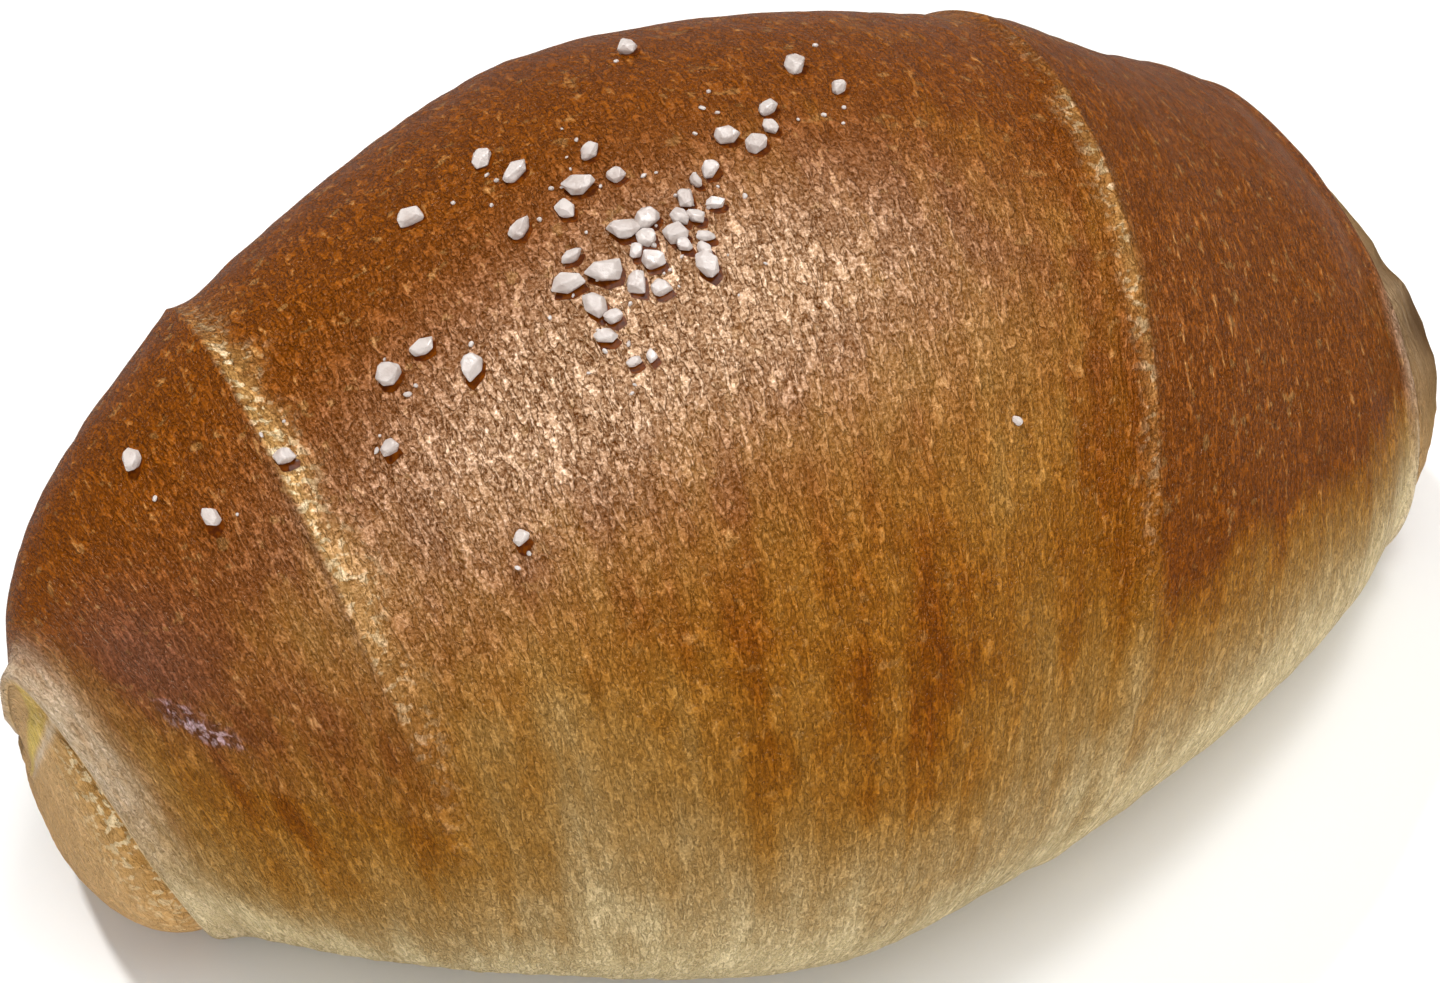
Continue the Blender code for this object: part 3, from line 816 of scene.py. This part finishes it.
def crust_finish(tree, shader, settings, grit, fine, long, band):
    """Feed the roughness and the finest relief of the crust."""
    rough = math_node(tree, "MULTIPLY_ADD", band, 0.25, 0.27)
    rough = math_node(tree, "MULTIPLY_ADD", mask_input(tree, "dough"), 0.16, rough)
    rough = math_node(tree, "MULTIPLY_ADD", fine["Height"], 0.3, rough)
    rough = math_node(tree, "MULTIPLY_ADD", mask_input(tree, "glaze"), -0.06, rough)
    tree.links.new(rough, shader["Roughness"])
    height = math_node(tree, "MULTIPLY_ADD", long["Height"], 1.3, fine["Height"])
    height = math_node(tree, "MULTIPLY_ADD", grit["Height"], 0.5, height)
    height = math_node(tree, "MULTIPLY_ADD", fine["Valleys"], 0.3, height)
    bump = place_node(tree, "ShaderNodeBump",
                      {"Height": height, "Distance": settings.wrinkle_depth, "Strength": 1.0})
    tree.links.new(bump.outputs["Normal"], shader["Normal"])


def crust_material(colours, settings, mottle, wrinkles):
    """Baked crust from deep brown on the crown to pale dough at the foot, with torn seams."""
    material, tree, shader = new_material("baked_crust")
    flow = place_node(tree, "ShaderNodeAttribute", attribute_name="flow").outputs["Vector"]
    grit, fine, long, streak = (
        use_group(tree, wrinkles, {"Flow": flow, "Width": width, "Length": length, "Crest": crest})
        for width, length, crest in WRINKLES)
    patches = use_group(tree, mottle, {"Vector": flow, "Size": 17.0})
    clouds = use_group(tree, mottle, {"Vector": flow, "Size": 5.5})
    chips = use_group(tree, mottle, {"Vector": flow, "Size": 1.3, "Low": 0.62, "High": 0.68})
    bake, band = mask_input(tree, "bake"), mask_input(tree, "band")

    colour = baked_colour(tree, colours, bake, patches, clouds, streak)
    colour = core_colour(tree, colours, colour, patches)
    colour = seam_colour(tree, colours, colour, mottle, flow, band, long)
    colour = blemish_colour(tree, colours, colour, mottle, flow)
    colour = fleck_colour(tree, colours, colour, fine, long, chips, bake)
    colour = skin_colour(tree, colours, colour, skin_relief(tree, grit, fine, long, bake))
    tree.links.new(colour, shader["Base Color"])
    crust_finish(tree, shader, settings, grit, fine, long, band)
    shader["Specular IOR Level"].default_value = CRUST_GLOSS
    shader["Specular Tint"].default_value = (*colours.gloss, 1)
    return material


def salt_material(colours, mottle):
    """Frosty white crystal with slightly clearer, greyer patches."""
    material, tree, shader = new_material("coarse_salt")
    spot = place_node(tree, "ShaderNodeTexCoord").outputs["Object"]
    spot = place_node(tree, "ShaderNodeVectorMath", {0: spot, "Scale": 1 / MM},
                      operation="SCALE").outputs[0]
    clear = use_group(tree, mottle, {"Vector": spot, "Size": 1.6, "Low": 0.4, "High": 0.7})
    frost = use_group(tree, mottle, {"Vector": spot, "Size": 0.45, "Low": 0.3, "High": 0.75})
    colour = mix_colour(tree, clear["Mask"], (*colours.salt_white, 1), (*colours.salt_grey, 1))
    tree.links.new(colour, shader["Base Color"])
    rough = math_node(tree, "MULTIPLY_ADD", frost["Mask"], 0.3, 0.25)
    tree.links.new(rough, shader["Roughness"])
    bump = place_node(tree, "ShaderNodeBump",
                      {"Height": frost["Mask"], "Distance": 0.00006, "Strength": 0.7})
    tree.links.new(bump.outputs["Normal"], shader["Normal"])
    shader["Specular IOR Level"].default_value = 0.12
    shader["Subsurface Weight"].default_value = 0.1
    shader["Subsurface Radius"].default_value = (1.0, 0.9, 0.85)
    shader["Subsurface Scale"].default_value = 0.0006
    return material


def mark_material(colours, mottle):
    """Dark crust beside a salt grain: partly wet crust, partly a painted shadow of the grain."""
    material, tree, shader = new_material("wet_and_shaded_crust")
    spot = place_node(tree, "ShaderNodeTexCoord").outputs["Object"]
    cloud = use_group(tree, mottle, {"Vector": spot, "Size": 0.0004, "Low": 0.3, "High": 0.7})
    colour = mix_colour(tree, cloud["Mask"], (*colours.wet_and_shaded_crust, 1), (*colours.deep_crust, 1))
    tree.links.new(colour, shader["Base Color"])
    shader["Roughness"].default_value = 0.35
    shader["Specular IOR Level"].default_value = 0.03
    return material


def floor_material(colour, mottle):
    """Plain pale table top with a faint unevenness."""
    material, tree, shader = new_material("pale_floor")
    spot = place_node(tree, "ShaderNodeTexCoord").outputs["Object"]
    cloud = use_group(tree, mottle, {"Vector": spot, "Size": 0.2, "Low": 0.2, "High": 0.8})
    darker = tuple(c * 0.985 for c in colour)
    plain = mix_colour(tree, cloud["Mask"], (*colour, 1), (*darker, 1))
    mirrored = place_node(tree, "ShaderNodeLightPath").outputs["Is Glossy Ray"]
    dim = tuple(c * MIRRORED_FLOOR for c in colour)
    tree.links.new(mix_colour(tree, mirrored, plain, (*dim, 1)), shader["Base Color"])
    shader["Roughness"].default_value = 0.6
    return material


def shared_group(name, build):
    return bpy.data.node_groups.get(name) or build()


# ---------------------------------------------------------------- settings

def colour_property(name, description, default):
    return FloatVectorProperty(name=name, description=description, subtype="COLOR", size=3,
                               min=0.0, max=1.0, default=default)


class RollColours(bpy.types.PropertyGroup):
    """Colours of the crust, the dough and the salt."""
    deep_crust: colour_property("Deep crust", "Darkest baking on the crown", (0.182, 0.042, 0.0008))
    brown_crust: colour_property("Brown crust", "Baking of the upper side", (0.27, 0.084, 0.002))
    golden_crust: colour_property("Golden crust", "Baking of the flank", (0.35, 0.164, 0.024))
    straw_crust: colour_property("Straw crust", "Where the baking fades", (0.43, 0.285, 0.115))
    pale_crust: colour_property("Pale crust", "Hardly baked foot", (0.82, 0.66, 0.37))
    torn_crust: colour_property("Torn crust", "Rough strip beside a seam", (0.50, 0.27, 0.08))
    lip_dough: colour_property("Lip", "Stretched edge of an outer lobe", (0.70, 0.54, 0.37))
    core_dough: colour_property("Core", "Dough core at the ends", (0.64, 0.39, 0.17))
    core_shade: colour_property("Core shade", "Darker places of the core", (0.58, 0.34, 0.13))
    pocket_dough: colour_property("Pocket", "Hollow below the left lip", (0.70, 0.50, 0.13))
    blush: colour_property("Blush", "Violet tint of the left lobe", (0.20, 0.085, 0.06))
    fleck: colour_property("Fleck", "Crests of the fine wrinkles", (0.50, 0.27, 0.08))
    scab: colour_property("Scab", "Rough streak on the left lobe", (0.13, 0.042, 0.02))
    # colour of the painted glints on the rough streak of the left lobe
    painted_glint: colour_property("Painted glint", "Painted glints of that streak", (0.48, 0.32, 0.33))
    # colour of the painted shade in the seam creases and in the folds and dimples of the cores
    valley: colour_property("Hollow shade", "Dark line along a seam", (0.13, 0.04, 0.006))
    seam_crumb: colour_property("Seam crumb", "Pale crumbs beside a seam", (0.80, 0.62, 0.36))
    # colour of the painted highlight on the crown
    painted_sheen: colour_property("Painted sheen", "Painted highlight on the crown", (0.72, 0.48, 0.29))
    gloss: colour_property("Gloss", "Tint of the crust's reflections", (1.0, 0.80, 0.58))
    # colour of the marks beside the salt: partly wet crust, partly painted shadow
    wet_and_shaded_crust: colour_property("Wet and shaded crust", "Dark marks beside the salt", (0.07, 0.013, 0.002))
    salt_white: colour_property("Salt", "White of the salt", (0.62, 0.55, 0.51))
    salt_grey: colour_property("Clear salt", "Clearer parts of the salt", (0.50, 0.42, 0.38))


class RollSettings(bpy.types.PropertyGroup):
    """Fineness and relief of the crust and the salt."""
    columns: IntProperty(
        name="Columns", description="Points round the roll", default=340, min=24, max=720)
    ripple_height: FloatProperty(
        name="Ripple height", description="Height of the soft ripples of the crust",
        default=0.00005, min=0.0, max=0.001, precision=5, unit="LENGTH")
    crumb_height: FloatProperty(
        name="Crumb height", description="Height of the crumbs beside a seam",
        default=0.00014, min=0.0, max=0.001, precision=5, unit="LENGTH")
    wrinkle_depth: FloatProperty(
        name="Wrinkle depth", description="Depth of the finest wrinkles",
        default=0.0006, min=0.0, max=0.002, precision=5, unit="LENGTH")
    grain_rounding: FloatProperty(
        name="Grain rounding", description="Rounding of the edges of a salt grain",
        default=0.00005, min=0.0, max=0.0005, precision=5, unit="LENGTH")


class StageSettings(bpy.types.PropertyGroup):
    """Floor, lights and camera."""
    floor_reach: FloatProperty(
        name="Floor reach", description="Half the side of the floor", default=4.0, min=0.5,
        unit="LENGTH")
    floor_colour: colour_property("Floor", "Colour of the floor", (0.86, 0.86, 0.85))
    backdrop: FloatProperty(
        name="Backdrop", description="Brightness of the plain backdrop", default=0.85, min=0.0)
    ambient: FloatProperty(
        name="Ambient light", description="Strength of the light from all round", default=0.08,
        min=0.0)
    back_strength: FloatProperty(
        name="Back light", description="Strength of the light from above and behind",
        default=2.2, min=0.0)
    glint_strength: FloatProperty(
        name="Glint light", description="Strength of the light that only reflections show",
        default=13.0, min=0.0)
    top_strength: FloatProperty(
        name="Top light", description="Strength of the overhead light", default=1.3, min=0.0)
    front_strength: FloatProperty(
        name="Front light", description="Strength of the soft front light", default=2.0,
        min=0.0)
    side_strength: FloatProperty(
        name="Side light", description="Strength of the low light from the right", default=1.15,
        min=0.0)
    bearing: FloatProperty(
        name="Bearing", description="Turn of the camera about the roll", subtype="ANGLE",
        default=math.radians(-20.977))
    elevation: FloatProperty(
        name="Elevation", description="Height of the camera above the floor's plane",
        subtype="ANGLE", default=math.radians(50.191))
    roll: FloatProperty(
        name="Tilt", description="Turn of the camera about its own axis", subtype="ANGLE",
        default=math.radians(-3.834))
    distance: FloatProperty(
        name="Distance", description="From the camera to its aim", default=0.38, min=0.1,
        unit="LENGTH")
    focal_length: FloatProperty(
        name="Focal length", description="On a 36 mm wide sensor", default=118.79, min=10.0,
        unit="CAMERA")
    aim: FloatVectorProperty(
        name="Aim", description="Point that the camera looks at", subtype="XYZ", size=3,
        default=(-0.0002, 0.00077, 0.02254), unit="LENGTH")


# ---------------------------------------------------------------- pieces

class ROLL_OT_crust(bpy.types.Operator):
    """Build the roll's body with its lobes, seams, lips and dough cores"""
    bl_idname = "roll.crust"
    bl_label = "Crust"

    def execute(self, context):
        settings, colours = context.scene.roll_settings, context.scene.roll_colours
        points, flow, masks = body_grid(settings.columns, settings)
        low, high = points.min(axis=(0, 1)), points.max(axis=(0, 1))
        shift = np.array([(low[0] + high[0]) / 2, (low[1] + high[1]) / 2, 0.0])
        context.scene["roll_shift"] = shift.tolist()
        body = add_to_scene(loft("roll_crust", points - shift))
        attribute = body.data.attributes.new("flow", "FLOAT_VECTOR", "POINT")
        attribute.data.foreach_set("vector", poles(flow).ravel().astype(np.float32))
        for name, mask in masks.items():
            attribute = body.data.attributes.new(name, "FLOAT", "POINT")
            attribute.data.foreach_set("value", poles(mask).ravel().astype(np.float32))
        dress(body, crust_material(colours, settings, shared_group("mottle", mottle_group),
                                   shared_group("fine_wrinkles", wrinkle_group)))
        return {"FINISHED"}


class ROLL_OT_salt(bpy.types.Operator):
    """Lay the coarse salt grains on the crust, as one mesh"""
    bl_idname = "roll.salt"
    bl_label = "Salt grains"

    def execute(self, context):
        settings, colours = context.scene.roll_settings, context.scene.roll_colours
        body = bpy.data.objects.get("roll_crust")
        if body is None:
            raise RuntimeError("the crust has to be built before the salt")
        shift = Vector(context.scene["roll_shift"])
        crust = BVHTree.FromPolygons([v.co for v in body.data.vertices],
                                     [p.vertices for p in body.data.polygons])
        salt, marks = bmesh.new(), bmesh.new()
        grains = salt_layout()
        for number, (x, y, size, draw) in enumerate(grains + salt_crumbs()):
            rng = random.Random(draw)
            shape, half_height = crystal(size, rng)
            bmesh.ops.bevel(shape, geom=shape.edges[:], offset=settings.grain_rounding,
                            segments=1, profile=0.5, affect="EDGES", clamp_overlap=True)
            above = (Vector((x, y, 2 * HEIGHT)) - shift) * MM
            spot, normal, _, _ = crust.ray_cast(above, Vector((0, 0, -1)))
            lie = normal.to_track_quat("Z", "Y").to_matrix().to_4x4()
            spin = Matrix.Rotation(rng.uniform(0, 2 * math.pi), 4, "Z")
            lean = Matrix.Rotation(rng.uniform(-GRAIN_LEAN, GRAIN_LEAN), 4, "X")
            rise = half_height * (1 - 2 * GRAIN_SINK) * MM
            shape.transform(Matrix.Translation(spot + normal * rise) @ lie @ spin @ lean)
            # each grain gets a dark mark: partly wet crust, partly a painted shadow
            if number < len(grains):
                shadow_and_wet_mark(marks, crust, shape)
            single = bpy.data.meshes.new("grain")
            shape.to_mesh(single)
            shape.free()
            salt.from_mesh(single)
            bpy.data.meshes.remove(single)
        mesh = bpy.data.meshes.new("salt_grains")
        salt.to_mesh(mesh)
        salt.free()
        piece = add_to_scene(bpy.data.objects.new("salt_grains", mesh))
        dress(piece, salt_material(colours, shared_group("mottle", mottle_group)))
        # the dark marks beside the grains: partly wet crust, partly painted shadow
        mesh = bpy.data.meshes.new("shadow_and_wet_marks")
        marks.to_mesh(mesh)
        marks.free()
        piece = add_to_scene(bpy.data.objects.new("shadow_and_wet_marks", mesh))
        dress(piece, mark_material(colours, shared_group("mottle", mottle_group)))
        return {"FINISHED"}


class ROLL_OT_stage(bpy.types.Operator):
    """Set the floor, the soft lights and the camera"""
    bl_idname = "roll.stage"
    bl_label = "Stage"

    def execute(self, context):
        stage = context.scene.roll_stage
        reach = stage.floor_reach
        mesh = bpy.data.meshes.new("floor")
        mesh.from_pydata([(-reach, -reach, 0), (reach, -reach, 0), (reach, reach, 0),
                          (-reach, reach, 0)], [], [(0, 1, 2, 3)])
        floor = add_to_scene(bpy.data.objects.new("floor", mesh))
        mesh.materials.append(floor_material(stage.floor_colour,
                                             shared_group("mottle", mottle_group)))

        world = bpy.data.worlds.new("soft_room")
        world.use_nodes = True
        tree = world.node_tree
        seen = place_node(tree, "ShaderNodeLightPath").outputs["Is Camera Ray"]
        strength = math_node(tree, "MULTIPLY_ADD", seen, stage.backdrop - stage.ambient,
                             stage.ambient)
        tree.links.new(strength, tree.nodes["Background"].inputs["Strength"])
        tree.nodes["Background"].inputs["Color"].default_value = (1.0, 0.99, 0.97, 1.0)
        context.scene.world = world
        back = self.soft_light("back_light", (-0.14, 0.50, 0.85), 5.0, stage.back_strength)
        back.visible_glossy = False
        glint = self.soft_light("glint_light", (0.24, 0.06, 0.97), 14.0, stage.glint_strength)
        glint.visible_diffuse = False
        self.soft_light("top_light", (0.28, -0.10, 0.95), 45.0, stage.top_strength)
        self.soft_light("front_light", (-0.50, -0.75, 0.45), 100.0, stage.front_strength)
        side = self.soft_light("side_light", (0.90, -0.38, 0.18), 60.0, stage.side_strength)
        side.visible_glossy = False
        self.camera(context, stage)
        context.scene.view_settings.view_transform = "Standard"
        context.scene.view_settings.look = "None"
        return {"FINISHED"}

    def soft_light(self, name, towards, spread, strength):
        light = bpy.data.lights.new(name, "SUN")
        light.angle, light.energy = math.radians(spread), strength
        item = add_to_scene(bpy.data.objects.new(name, light))
        item.location = towards
        item.rotation_euler = Vector(towards).to_track_quat("Z", "Y").to_euler()
        return item

    def camera(self, context, stage):
        flat = math.cos(stage.elevation)
        back = Vector((math.sin(stage.bearing) * flat, -math.cos(stage.bearing) * flat,
                       math.sin(stage.elevation)))
        right = Vector((0, 0, 1)).cross(back).normalized()
        up = back.cross(right)
        turned = Matrix((right, up, back)).transposed().to_4x4() @ Matrix.Rotation(
            stage.roll, 4, "Z")
        lens = bpy.data.cameras.new("camera")
        lens.sensor_width = 36.0
        lens.lens = stage.focal_length
        lens.clip_start = 0.01
        view = add_to_scene(bpy.data.objects.new("camera", lens))
        view.matrix_world = Matrix.Translation(
            Vector(stage.aim) + back * stage.distance) @ turned
        context.scene.camera = view


class ROLL_PT_build(bpy.types.Panel):
    """Settings and build steps of the salt bread roll"""
    bl_idname = "ROLL_PT_build"
    bl_label = "Salt bread roll"
    bl_space_type = "VIEW_3D"
    bl_region_type = "UI"
    bl_category = "Salt bread roll"

    def draw(self, context):
        for owner in (context.scene.roll_settings, context.scene.roll_colours,
                      context.scene.roll_stage):
            box = self.layout.box()
            for name in owner.__annotations__:
                box.prop(owner, name)
        for operator in (ROLL_OT_crust, ROLL_OT_salt, ROLL_OT_stage):
            self.layout.operator(operator.bl_idname)


CLASSES = (RollColours, RollSettings, StageSettings, ROLL_OT_crust, ROLL_OT_salt, ROLL_OT_stage,
           ROLL_PT_build)


def register():
    for item in CLASSES:
        bpy.utils.register_class(item)
    bpy.types.Scene.roll_colours = PointerProperty(type=RollColours)
    bpy.types.Scene.roll_settings = PointerProperty(type=RollSettings)
    bpy.types.Scene.roll_stage = PointerProperty(type=StageSettings)


def unregister():
    del bpy.types.Scene.roll_stage
    del bpy.types.Scene.roll_settings
    del bpy.types.Scene.roll_colours
    for item in reversed(CLASSES):
        bpy.utils.unregister_class(item)


def main():
    register()
    bpy.ops.roll.crust()
    bpy.ops.roll.salt()
    bpy.ops.roll.stage()


if __name__ == "__main__":
    main()
